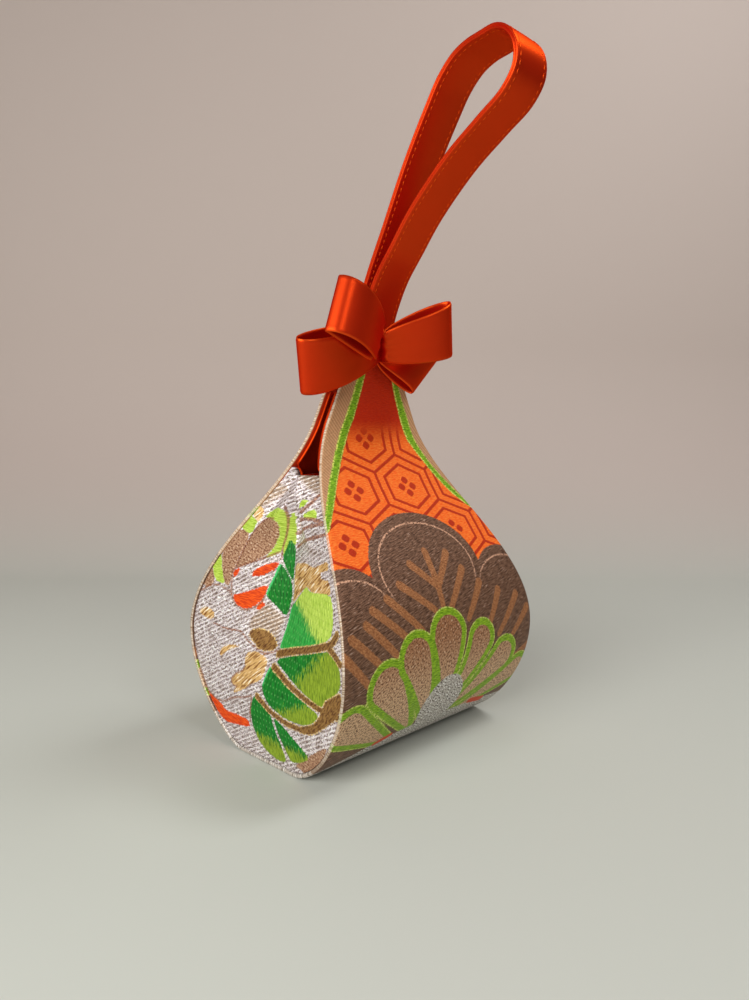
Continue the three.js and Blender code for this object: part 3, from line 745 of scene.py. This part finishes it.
# Outlines woven into the gussets, in depth and height
GUSSET_OUTLINES = dict(
    lime=(
        ((19.4, 114.2), (16.2, 117.2), (11.5, 119.4), (6.9, 119.4), (5.5, 117.2), (4.7, 114.8),
         (4.9, 110.3), (5.6, 105.5), (6.6, 100.6), (7.5, 98.6), (11, 96.7), (15.3, 94.9), (10.7, 100.3),
         (8.8, 104.1), (7.7, 107.8), (7.7, 111.5), (8.7, 113.6), (14, 114.2)),
        ((33, 109.5), (28, 115), (23.1, 112.2), (23.8, 108.9), (25.6, 105.8), (29.4, 107.5)),
        ((47, 93), (43, 98), (41, 93.3), (39.2, 86.6), (36.8, 79.8), (43.2, 81.8)),
        ((4.7, 113.9), (3.1, 118.1), (2, 111), (1.3, 104.5), (1.3, 101.6), (3.6, 104.4), (4.6, 100.1),
         (5.9, 96.2), (6.6, 100.6), (5.3, 106.7)),
        ((-8.5, 121.2), (-9.1, 124.9), (-12.5, 124.9), (-11.2, 122.6)),
        ((-11.4, 117.7), (-16.8, 121.5), (-19.2, 120), (-19.8, 117.5), (-13.3, 117)),
        ((-2.1, 87.7), (-4, 89.6), (-5.9, 85.9), (-4.5, 81.7)),
    ),
    beige=(
        ((18, 113.4), (14, 114.2), (8.7, 113.6), (7.7, 111.5), (7.7, 107.8), (9.1, 103.8), (11.3, 100),
         (14.3, 97), (23.3, 91.6), (31.3, 88.7), (29.5, 93.8), (26, 102.6), (22.4, 109.2)),
        ((31, 108), (26.6, 106.2), (26.7, 103.1), (28.2, 98.8), (30.3, 93.7), (31.8, 89.3), (34.2, 79.2),
         (36.9, 80.7), (39.2, 86.6), (40.5, 95.3), (37.1, 100.2)),
        ((54, 80), (48, 92), (43.2, 81.8), (46, 77)),
        ((-20, 6), (-36, 17), (-44, 22), (-38, 12), (-28, 4)),
    ),
    orange=(
        ((21.4, 86.1), (19.3, 89.3), (13.5, 92), (8, 93.6), (8.3, 91), (14.2, 87.2), (18.8, 85.8)),
        ((31.8, 84.4), (31.9, 87.4), (28.4, 89), (30, 85.2)),
        ((31.2, 75.2), (27.2, 76.3), (20.1, 78.9), (12, 82.3), (12.4, 79.2), (14.9, 74.1), (19.2, 70.9),
         (23.6, 69.4), (27.6, 70.5), (30.2, 72.5)),
        ((17.4, 70.5), (14.6, 74.1), (12.5, 72.6), (15.3, 70)),
        ((47, 25), (45, 23), (34.9, 20.4), (31.7, 17.5), (22, 18.1), (13.4, 17.7), (12.2, 14.4),
         (25.8, 12.5), (31.4, 11.5), (36.1, 13.2), (40.4, 16.6)),
    ),
    gold=(
        ((51.3, 64.9), (47.7, 67.3), (42.8, 66.2), (41.3, 63.4), (43.7, 61.6), (50.2, 63.1)),
        ((35.5, 45.7), (33.4, 49.3), (28.7, 51.5), (21.5, 52.2), (29.3, 49.2), (33.9, 45.1)),
        ((16.5, 49.7), (10.7, 51.3), (4.7, 49.8), (3, 48.5), (2.5, 45.2), (3.7, 39.8), (8.7, 37.4),
         (15.7, 32.6), (24, 28.7), (20.2, 33.2), (23.5, 33), (25.1, 35.2), (20.9, 39.4), (17, 41.3),
         (15.6, 43.9), (16.9, 46.3)),
        ((-1.2, 93.8), (-12.3, 96), (-22.7, 95.4), (-34.3, 100.7), (-36.1, 97.3), (-28.9, 94.9),
         (-30.9, 92), (-38.3, 92.6), (-40.7, 87.5), (-33.8, 85.8), (-25.8, 84.9), (-18.5, 87),
         (-13.3, 83.9), (-3.9, 76), (-4.5, 82)),
        ((24.5, 121), (20, 117), (22, 111.5), (25.5, 114.5)),
    ),
    leaf=(
        ((-2.6, 54.9), (-2.4, 58.7), (-2.2, 63.7), (-2.1, 69.4), (-2.6, 73.5), (-9.7, 79.2), (-17.5, 86.2),
         (-22.9, 84.5), (-40.2, 87.1), (-43.2, 82.9), (-44.8, 76), (-44.1, 70.4), (-38.2, 66.4),
         (-24.4, 61.4)),
        ((-2.5, 50), (-16.4, 55), (-39.2, 62.2), (-43, 63.4), (-49.6, 61.3), (-53, 57.7), (-53.4, 51.8),
         (-50.5, 47.6), (-42.9, 42.8), (-41.1, 39.2), (-32.1, 41.4), (-23.3, 43.8), (-12.8, 47.3)),
        ((-0.5, 47), (-8.1, 44.5), (-19.9, 40), (-30.5, 37.5), (-38.3, 35.3), (-37.8, 33.2), (-34.3, 30.2),
         (-28.3, 27.7), (-16.4, 27.2), (-6.3, 29.8), (-1.9, 32.7), (1.7, 37.1), (1.1, 42)),
        ((10.2, 23.7), (7.2, 31), (4.5, 32.1), (-1.9, 27.9), (-5, 25.2), (-7.1, 18.8), (-11.4, 11.7),
         (-14.2, 5.6), (-8.4, 4.2), (0, 6.2), (6, 10.4), (9.6, 16.6)),
        ((-7.2, 25), (-14, 22.3), (-23.2, 16.9), (-31, 12.7), (-24.1, 8.4), (-17.9, 6.8), (-14.6, 10.8),
         (-10, 18.4)),
        ((12.5, 77.4), (11, 81.7), (9, 86.7), (7, 92.9), (4.3, 90.1), (0.3, 84.6), (-2, 79.3), (-0.3, 73.4),
         (0.8, 68.9), (6.3, 72.7)),
        ((6, 95.9), (4.6, 100.1), (3.6, 104.4), (1.3, 101.6), (-0.3, 95.3), (-0.8, 85.4), (3.2, 90.8)),
    ),
    brown=(
        ((18.2, 58), (16.8, 60.4), (12.7, 61.5), (7.6, 60.9), (2.9, 58), (0, 55.3), (1.6, 53.6),
         (5.9, 52.5), (10.4, 52.8), (13.3, 54.9)),
        ((-20.1, 24.6), (-28.2, 26.7), (-35.2, 29.8), (-39.3, 33.9), (-42, 38.9), (-43.4, 42.7),
         (-47.6, 45.1), (-53.6, 49.3), (-54.5, 44.5), (-51.3, 37.5), (-43.7, 31.4), (-34.7, 25),
         (-26.9, 23.2)),
    ),
    flame=(
        ((30.9, 76.4), (30.5, 83.3), (27.9, 88.5), (21.7, 90.9), (13.7, 92.9), (7.9, 90.4), (9, 86.7),
         (12, 82.5), (20.1, 79.2)),
    ),
    bronze=(
        ((2.9, 62.8), (0.5, 67), (2.4, 68), (12.6, 74.2), (18.7, 66), (19, 60.7), (7.9, 61.5), (0.1, 56.9)),
        ((0, 139), (-14, 139), (-16.8, 127.6), (-8.2, 131)),
        ((22, 128), (16, 132), (10, 128), (18, 121), (27, 117)),
    ),
)
# Veins between the leaves: half width and line
GUSSET_VEINS = (
    (1.7, ((-2.8, 52.8), (-15.3, 56.9), (-27.4, 60.7), (-38.6, 64.6), (-45.2, 67.6), (-49, 72.4))),
    (1.6, ((-43.2, 65.3), (-48.2, 63.7), (-53, 61))),
    (1.4, ((-2.2, 47.3), (-8.9, 45.4), (-16.8, 43), (-25, 40.8), (-32.3, 39.3), (-40.1, 38), (-47.6, 37.6),
           (-54, 38))),
    (1.4, ((4.6, 32.4), (0.1, 30.1), (-4, 27.8), (-10.1, 26.1), (-17.1, 24.8), (-24.1, 24.8))),
)
GUSSET_CONTOURS = (
    ((52.9, 39.4), (51.9, 36.5), (49.5, 31.8), (44.9, 24.2), (34.7, 21.6), (24.3, 26.3), (15.8, 28.7),
     (8.9, 31.2)),
    ((51.4, 74.9), (44.3, 78.9), (35, 77.5), (31.3, 74.1)),
    ((41.3, 60), (32.1, 58.6), (22.9, 58.7), (18.3, 55.4), (13.2, 53.2), (5.3, 51.3), (-1.8, 54.1)),
    ((13.2, 76.7), (14.9, 73.5), (19, 70.3), (23.6, 69), (27.9, 70.1), (30.9, 72.7), (32.4, 77.5),
     (32.7, 82.4), (32.2, 87.4), (27.8, 90), (15.3, 95.1), (8.1, 98.4)),
    ((31.3, 88.7), (29.5, 93.8), (26, 102.6), (22.4, 109.2), (18, 113.5), (11.1, 114.4)),
    ((15.6, 43.9), (17, 41.3), (20.9, 39.4), (25.1, 35.2), (23.5, 33), (20.2, 33.2)),
    ((11.5, 17), (11, 22), (8.5, 30.5)),
    ((5.9, 120.5), (4.7, 114), (5.3, 106.7), (6.6, 100.6), (6.9, 95.5)),
)
GUSSET_HOOKS = (
    ((-10.2, 119.7), (-14, 123.3), (-16.8, 127.6)),
    ((-5, 114), (-11.6, 116.4), (-17.9, 116.9), (-24.8, 115.9)),
    ((1.2, 107.8), (-11.3, 111.4), (-17.1, 113.8), (-25, 115.5)),
    ((-0.4, 101.6), (-6.8, 104.5), (-19.8, 108.8), (-28.5, 111.1)),
)
# Folded edges of the leaves along the pleat, where a painted highlight is laid
GUSSET_FOLD_HIGHLIGHTS = (
    ((1.9, 38), (1.1, 42), (-0.5, 47)),
    ((-2.5, 50), (-2.6, 54.9), (-2.3, 63.7), (-2.6, 73.5)),
    ((12.5, 77.4), (11, 81.7), (9, 86.7), (7, 92.9)),
)


def gusset_figures(y, z):
    figs = {k: union(*(d_polygon(y, z, p) for p in shapes)) for k, shapes in GUSSET_OUTLINES.items()}
    figs["brown"] = union(figs["brown"], *(d_lines(y, z, [line]) - half for half, line in GUSSET_VEINS))
    figs["contour"] = union(d_lines(y, z, GUSSET_CONTOURS), d_lines(y, z, GUSSET_HOOKS) - 0.35)
    figs["leaf_edge"] = d_lines(y, z, GUSSET_FOLD_HIGHLIGHTS)
    # Each leaf turns from green to lime towards the front seam
    vein_1, vein_2 = 52.6 - 0.325 * (y + 2.3), 47.2 + 0.24 * (y + 1.5)
    vein_3 = np.interp(-y, (-6, -0.7, 8, 18.8, 29.4, 39.9, 47.9), (34.6, 29.3, 26.3, 24.6, 25.4, 30, 35.2))
    turn = np.where(z > vein_1, (-y - 42 + 2.1 * (z - 62)) / 25, ((-y - 27) - (z - 49)) / 20)
    turn = np.where(z < vein_2, ((-y - 20) - 2.5 * (z - 32)) / 22, turn) + 0.5
    turn = np.where(z < vein_3, (12.5 - z) / 8 + 0.5, turn)
    figs["leaf_turn"] = np.where((y > -2) & (z > 66), (z - 102) / 10, turn)
    # Painted light and shade: the leaf above the first vein, on the pleat that faces the light, is painted
    # lighter than the leaves below
    figs["leaf_lit"] = np.minimum(z - vein_1, -2 - y)
    return figs


# Unevenness, relief and ragged top of the gussets
UNEVEN, UNEVEN_SIZE, UNEVEN_SEED = 0.25, 26.0, 5
GUSSET_RAISED, LEAN_LIMIT = 0.22, 1.8
FRAY, FRAY_REACH, FRAY_SEED = 1.0, 1.2, 3
# Play of the lining behind the gussets' cloth
LINING_PLAY = 0.15


def wave_noise(a, b, seed, size):
    """Smooth hand-made unevenness, the same each run."""
    rng = np.random.default_rng(seed)
    waves, turn = 6, 6.28
    out = np.zeros(a.shape)
    for _ in range(waves):
        ka, kb, phase = rng.normal(0, 1 / size), rng.normal(0, 1 / size), rng.uniform(0, turn)
        out += np.sin(ka * a * turn + kb * b * turn + phase)
    return out / waves


def gusset_grid(side, Y, Z, sets, depth):
    """Points at a depth behind the gusset's face, deeper where it leans, so that the cloth stays as thick."""
    slope = np.gradient(sets, axis=1) / np.maximum(np.abs(np.gradient(Y, axis=1)), 1e-6)
    lean = np.minimum(LEAN_LIMIT, np.hypot(1, slope))
    x = half_width(Z) - GUSSET_INSET - sets - depth * lean
    return np.stack([side * x, Y, Z], -1)


def make_gusset(side, name):
    Y, Z, sets = gusset_surface(*GUSSET_MESH)
    figs = gusset_figures(Y, Z)
    calm = np.clip(1 - np.abs(np.linspace(-1, 1, Y.shape[1])) ** 6, 0, 1)
    raised = union(figs["leaf"], figs["lime"], figs["orange"], figs["gold"], figs["beige"])
    relief = UNEVEN * wave_noise(Y, Z, UNEVEN_SEED, UNEVEN_SIZE) - GUSSET_RAISED * ease(-raised, -0.4, 1.0)
    fray = np.random.default_rng(FRAY_SEED).uniform(-FRAY, 0.0, Y.shape[1]) * calm
    Z = Z + fray[None, :] * ease(Z - Z[-1:], -FRAY_REACH, 0)
    outer = gusset_grid(side, Y, Z, sets + relief * calm, 0.0)
    inner = gusset_grid(side, Y, Z, sets, GUSSET)
    attrs = {k: np.tile(v.ravel(), 2) for k, v in figs.items()}
    attrs.update(on_cloth(np.tile(Y, (2, 1)), np.tile(Z, (2, 1))))
    return finish_mesh(name, *slab(outer, inner), SIDE, attrs)


def make_gusset_lining(side, name):
    Y, Z, sets = gusset_surface(*GUSSET_LINING_MESH)
    outer = gusset_grid(side, Y, Z, sets, GUSSET + GAP + LINING_PLAY)
    inner = gusset_grid(side, Y, Z, sets, GUSSET + GAP + LINING)
    attrs = on_cloth(np.tile(Z, (2, 1)), np.tile(Y, (2, 1)), ALONG_Y)
    return finish_mesh(name, *slab(outer, inner), INSIDE, attrs)


# Wrist strap
STRAP_WIDTH, STRAP_THICK, STRAP_TAIL = 22.0, 2.4, 16.0
STRAP_RISE, STRAP_REACH, STRAP_STEP = 129.0, 94.0, 1.6
# Where the strap leaves the neck: straight length above the rim, then a lean at a height
STRAP_STRAIGHT, STRAP_LEAN, STRAP_LEAN_RISE = 0.6, 2.1, 6.0
STRAP_CROWN, STRAP_NOTCH = 0.12, 0.12
SEAM_INSET, SEAM_DIP, SEAM_WIDTH = 2.4, 0.16, 0.7
STITCH_START, STITCH_PITCH, STITCH_PLACE = 26.0, 3.0, 10.0
STITCH_RADIUS, STITCH_SUNK, STITCH_FLAT = 0.28, 0.02, 0.8
# Places along a stitch and its thickness there
STITCH_FORM = ((-1.0, 0.35), (-0.7, 0.8), (0.0, 1.0), (0.7, 0.8), (1.0, 0.35))


def strap_frame():
    """The loop in depth and height: its points, their lengths along it, directions and normals."""
    seat = NECK_DEPTH / 2 - WRAP - GAP - STRAP_THICK / 2
    foot = BAG_HEIGHT - STRAP_TAIL
    shares = [
        (0.1, 0.17), (0.18, 0.29), (0.281, 0.387), (0.406, 0.501), (0.615, 0.644), (0.796, 0.736),
        (0.924, 0.8), (0.983, 0.866), (0.979, 0.93), (0.938, 0.976), (0.875, 0.999), (0.79, 0.993),
        (0.716, 0.983), (0.647, 0.96), (0.57, 0.907), (0.51, 0.842), (0.372, 0.672), (0.235, 0.47),
        (0.105, 0.275),
    ]
    tail = [(0, foot), (0, BAG_HEIGHT - STRAP_TAIL / 2), (0, BAG_HEIGHT + STRAP_STRAIGHT),
            (-STRAP_LEAN, BAG_HEIGHT + STRAP_LEAN_RISE)]
    points = [(d - seat, z) for d, z in tail]
    points += [(-STRAP_REACH * a, BAG_HEIGHT + STRAP_RISE * b) for a, b in shares]
    points += [(d + seat, z) for d, z in tail[::-1]]
    path, l = resample(catmull(points, 24), STRAP_STEP)
    t = np.gradient(path, axis=0)
    t /= np.linalg.norm(t, axis=1)[:, None]
    return path, l, t, np.stack([-t[:, 1], t[:, 0]], 1)


def strap_section():
    """Points round the two layers: one face and the edge beside it, then the same turned half round."""
    half, r = STRAP_WIDTH / 2, STRAP_THICK / 4
    flat = half - r
    f = np.linspace(-1, 1, 15)
    crown = STRAP_CROWN * (1 - f ** 2)
    seam = SEAM_DIP * np.exp(-((np.abs(f) * half - (half - SEAM_INSET)) / SEAM_WIDTH) ** 2)
    face = np.stack([f * flat, seam - crown - 2 * r], 1)
    edge = np.array(half_turn(r, 6)) + (flat, 0.0)
    side = np.vstack([face, edge - (0.0, 2 * r), [(flat + STRAP_NOTCH, 0.0)], edge])
    return np.vstack([side, -side])


def make_strap():
    path, l, _, n = strap_frame()
    sec = strap_section()
    X = np.repeat(sec[None, :, 0], len(path), 0)
    YZ = path[:, None, :] + n[:, None, :] * sec[None, :, 1, None]
    rings = np.concatenate([X[..., None], YZ], -1)
    attrs = on_cloth(np.repeat(l[:, None], len(sec), 1), X, ALONG_X)
    return finish_mesh("strap_satin", *loft(rings), RIBBON, attrs), float(l[-1])


def make_stitches():
    path, l, t, n = strap_frame()
    verts, faces, places = [], [], []
    seam = STRAP_WIDTH / 2 - SEAM_INSET
    lift = STRAP_THICK / 2 - STITCH_SUNK
    turn = np.linspace(0, 2 * math.pi, 6, endpoint=False)
    for q in np.arange(STITCH_START, l[-1] - STITCH_START, STITCH_PITCH):
        at, along, out = (np.array([np.interp(q, l, v[:, k]) for k in range(2)]) for v in (path, t, n))
        for edge in (-1, 1):
            for face in (-1, 1):
                rings = []
                for shift, size in STITCH_FORM:
                    r = STITCH_RADIUS * size
                    up = face * (lift + r * STITCH_FLAT * np.sin(turn))
                    yz = at + along * shift + out * up[:, None]
                    rings.append(np.column_stack([edge * seam + r * np.cos(turn), yz]))
                points, sides = loft(np.array(rings))
                faces += [[k + len(verts) for k in side] for side in sides]
                verts += points.tolist()
                places += [(q, edge * STITCH_PLACE)] * len(points)
    return finish_mesh("strap_stitches", verts, faces, THREAD, on_cloth(*np.array(places).T, ALONG_X))


# Bow loops, each a folded length of ribbon
RIBBON_WIDTH, RIBBON_THICK, PINCH = 27.0, 0.9, 2.4
CLOTH_THICK = RIBBON_THICK - 0.1
GATHER_DEPTH, GATHER_TURN = 0.28, 9.0
# Share of the half width where the edge begins to thin, and the selvage's ridge beside it
EDGE_FROM, RIDGE_AT, RIDGE_WIDTH, RIDGE_HEIGHT = 0.94, 0.93, 0.03, 0.06
NECK_TOP = np.array([0.0, -NECK_DEPTH / 2, BAG_HEIGHT])
LOOPS = {
    "main_left": dict(start=(-7, -8.1, 7.1), run=(-0.96, -0.01, -0.28), width=(-0.367, -0.315, 0.875),
                      length=51, front=7.9, back=6.2, middle=10),
    "main_right": dict(start=(-3.5, -11.1, 5.1), run=(0.884, -0.365, 0.292), width=(-0.286, -0.18, 0.941),
                       length=36.6, front=8.2, back=4.8, middle=7.5),
    "upper": dict(start=(-15.6, -17.45, 6.7), run=(-0.92, -0.112, 0.374), width=(0.363, 0.059, 0.93),
                  length=36, front=10.3, back=-1, middle=9.8),
    "lower": dict(start=(4, -2.2, 2.7), run=(0.9, -0.22, -0.375), width=(0.729, -0.009, 0.685),
                  length=27.4, front=4.6, back=2.2, middle=5.5),
}


def loop_stations(key, steps):
    """Middle line, width direction, half width and fullness of a loop, from one end round to the other."""
    p = LOOPS[key]
    run, width = (np.array(p[k], float) / np.linalg.norm(p[k]) for k in ("run", "width"))
    face = np.cross(run, width)
    face /= np.linalg.norm(face)
    if face[1] > 0:
        face = -face
    t = np.linspace(0, 1, steps + 1)
    swell = np.sin(math.pi * t)
    bulge = np.where(t < 0.5, p["front"], p["back"])
    out = p["length"] * (1 - np.cos(2 * math.pi * t)) / 2
    rise = bulge * np.sin(2 * math.pi * t) * swell + PINCH / 2 * np.cos(math.pi * t)
    at = NECK_TOP + np.array(p["start"]) + out[:, None] * run + rise[:, None] * face
    half = mix(p["middle"], RIBBON_WIDTH / 2, swell ** 1.2)
    return at, np.repeat(width[None], len(t), 0), half, swell


def make_ribbon(name, parts):
    at, width, half, swell = (np.concatenate(values) for values in zip(*parts))
    t = np.gradient(at, axis=0)
    t /= np.linalg.norm(t, axis=1)[:, None] + 1e-9
    n = np.cross(t, width)
    n /= np.linalg.norm(n, axis=1)[:, None]
    l = lengths(at)
    cols = np.linspace(-1, 1, 25)
    gather = (1 - swell)[:, None] ** 2
    pleat = GATHER_DEPTH * gather * np.cos(cols[None, :] * GATHER_TURN)
    edge = np.clip((np.abs(cols) - EDGE_FROM) / (1 - EDGE_FROM), 0, 1)
    body = CLOTH_THICK / 2 * np.sqrt(np.maximum(1 - edge ** 2, 0.05))
    body = body + RIDGE_HEIGHT * np.exp(-((np.abs(cols) - RIDGE_AT) / RIDGE_WIDTH) ** 2)
    across = half[:, None] * cols[None, :]
    base = at[:, None, :] + width[:, None, :] * across[..., None]
    up = base + n[:, None, :] * (pleat + body)[..., None]
    down = base + n[:, None, :] * (pleat - body)[..., None]
    both = np.concatenate([across, across[:, ::-1]], 1)
    attrs = on_cloth(np.repeat(l[:, None], both.shape[1], 1), both)
    attrs["selvage"] = np.tile(np.concatenate([edge, edge[::-1]]), len(l))
    attrs["across"] = np.repeat(width, both.shape[1], 0)
    return finish_mesh(name, *loft(np.concatenate([up, down[:, ::-1]], 1)), RIBBON, attrs), float(l[-1])


def cloth_piece(obj, node):
    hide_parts(node)
    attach(obj, "root")


wrap = make_wrap()
cloth_piece(wrap, "outer_wrap")
lining = make_wrap_lining()
cloth_piece(lining, "wrap_lining")
for side, word in ((-1, "left"), (1, "right")):
    g = make_gusset(side, f"gusset_cloth_{word}")
    cloth_piece(g, f"gusset_{word}")
    gl = make_gusset_lining(side, f"gusset_lining_cloth_{word}")
    cloth_piece(gl, f"gusset_lining_{word}")

strap, strap_length = make_strap()
stitches = make_stitches()
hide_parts("wrist_strap")
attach(strap, "root")
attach(stitches, "root")

left = tuple(values[::-1] for values in loop_stations("main_left", 110))
for name, node, parts in (
    ("bow_main_satin", "bow_main_ribbon", [left, loop_stations("main_right", 96)]),
    ("bow_upper_satin", "bow_upper_loop", [loop_stations("upper", 110)]),
    ("bow_lower_satin", "bow_lower_loop", [loop_stations("lower", 72)]),
):
    obj, length = make_ribbon(name, parts)
    cloth_piece(obj, node)

SNAP = metal()
for node in ("snap_socket", "snap_stud"):
    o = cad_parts[node]
    o.data.materials.clear()
    o.data.materials.append(SNAP)


# Floor, light and camera
FLOOR_FRONT, FLOOR_REACH, FLOOR_BEND, WALL_TOP, FLOOR_HALF = -1500.0, 620.0, 260.0, 1600.0, 2600.0
FLOOR_DROP = 0.05


def backdrop():
    m = Tree("backdrop_paper")
    soft = m.noise(m.object_place(), 3.0)
    c = m.blend(m.attr("rise"), "#c6cac2", "#c4b5ad")
    m.set(Base_Color=m.blend(m.mul(soft, 0.08), c, "#b8aaa2"), Roughness=0.7)
    away, side = np.array([0.697, 0.717]), np.array([0.717, -0.697])
    bend = FLOOR_REACH - FLOOR_BEND
    pts = [(FLOOR_FRONT, 0.0), (0.0, 0.0), (bend, 0.0)]
    for a in np.linspace(0.05, math.pi / 2, 40):
        pts.append((bend + FLOOR_BEND * math.sin(a), FLOOR_BEND - FLOOR_BEND * math.cos(a)))
    pts.append((FLOOR_REACH, WALL_TOP))
    verts, rise = [], []
    for d, z in pts:
        for w in (-FLOOR_HALF, FLOOR_HALF):
            verts.append((*(away * d + side * w), z - FLOOR_DROP))
            rise.append(ease(d, bend - 40, FLOOR_REACH - 20))
    faces = [[2 * k, 2 * k + 1, 2 * k + 3, 2 * k + 2] for k in range(len(pts) - 1)]
    finish_mesh("backdrop", np.array(verts), faces, m.mat, {"rise": np.array(rise)})


backdrop()


def area_light(name, at, aim, size, power, c=(1, 1, 1)):
    data = bpy.data.lights.new(name, "AREA")
    data.shape = "RECTANGLE"
    data.size, data.size_y = size
    data.energy = power
    data.color = c
    obj = bpy.data.objects.new(name, data)
    obj.location = at
    obj.rotation_euler = (Vector(aim) - Vector(at)).to_track_quat("-Z", "Y").to_euler()
    bpy.context.scene.collection.objects.link(obj)


area_light("window", (-0.9, -0.22, 0.5), (0, 0, 0.15), (0.8, 0.6), 10.4, (1.0, 0.98, 0.95))
area_light("top", (0.5, -0.4, 1.05), (0, 0, 0.12), (0.35, 0.35), 4.6)
area_light("front", (-0.2, -0.95, 0.85), (0, 0, 0.12), (0.28, 0.28), 1.8, (1.0, 0.97, 0.94))

world = bpy.data.worlds.new("studio")
world.use_nodes = True
world.node_tree.nodes["Background"].inputs[0].default_value = (0.92, 0.90, 0.88, 1)
world.node_tree.nodes["Background"].inputs[1].default_value = 0.16
bpy.context.scene.world = world

# Camera: angles round and above the bag, roll, distance and the point that it looks at
AZ, EL, ROLL = (math.radians(angle) for angle in (-45.84, 6.15, 0.51))
DISTANCE, AIM_HEIGHT, AIM_RIGHT = 396.88, 120.64, 4.84
back = Vector((math.sin(AZ) * math.cos(EL), -math.cos(AZ) * math.cos(EL), math.sin(EL)))
right = Vector((math.cos(AZ), math.sin(AZ), 0))
up = back.cross(right)
target = Vector((0, 0, AIM_HEIGHT)) + right * AIM_RIGHT
eye = (target + back * DISTANCE) * MM
r2 = right * math.cos(ROLL) + up * math.sin(ROLL)
u2 = -right * math.sin(ROLL) + up * math.cos(ROLL)
cam_data = bpy.data.cameras.new("camera")
cam_data.lens = 27.72
cam_data.sensor_width = 36.0
cam_data.clip_start = 0.01
cam = bpy.data.objects.new("camera", cam_data)
cam.matrix_world = Matrix.Translation(eye) @ Matrix((r2, u2, back)).transposed().to_4x4()
bpy.context.scene.collection.objects.link(cam)
bpy.context.scene.camera = cam

bpy.context.scene.view_settings.view_transform = "Standard"
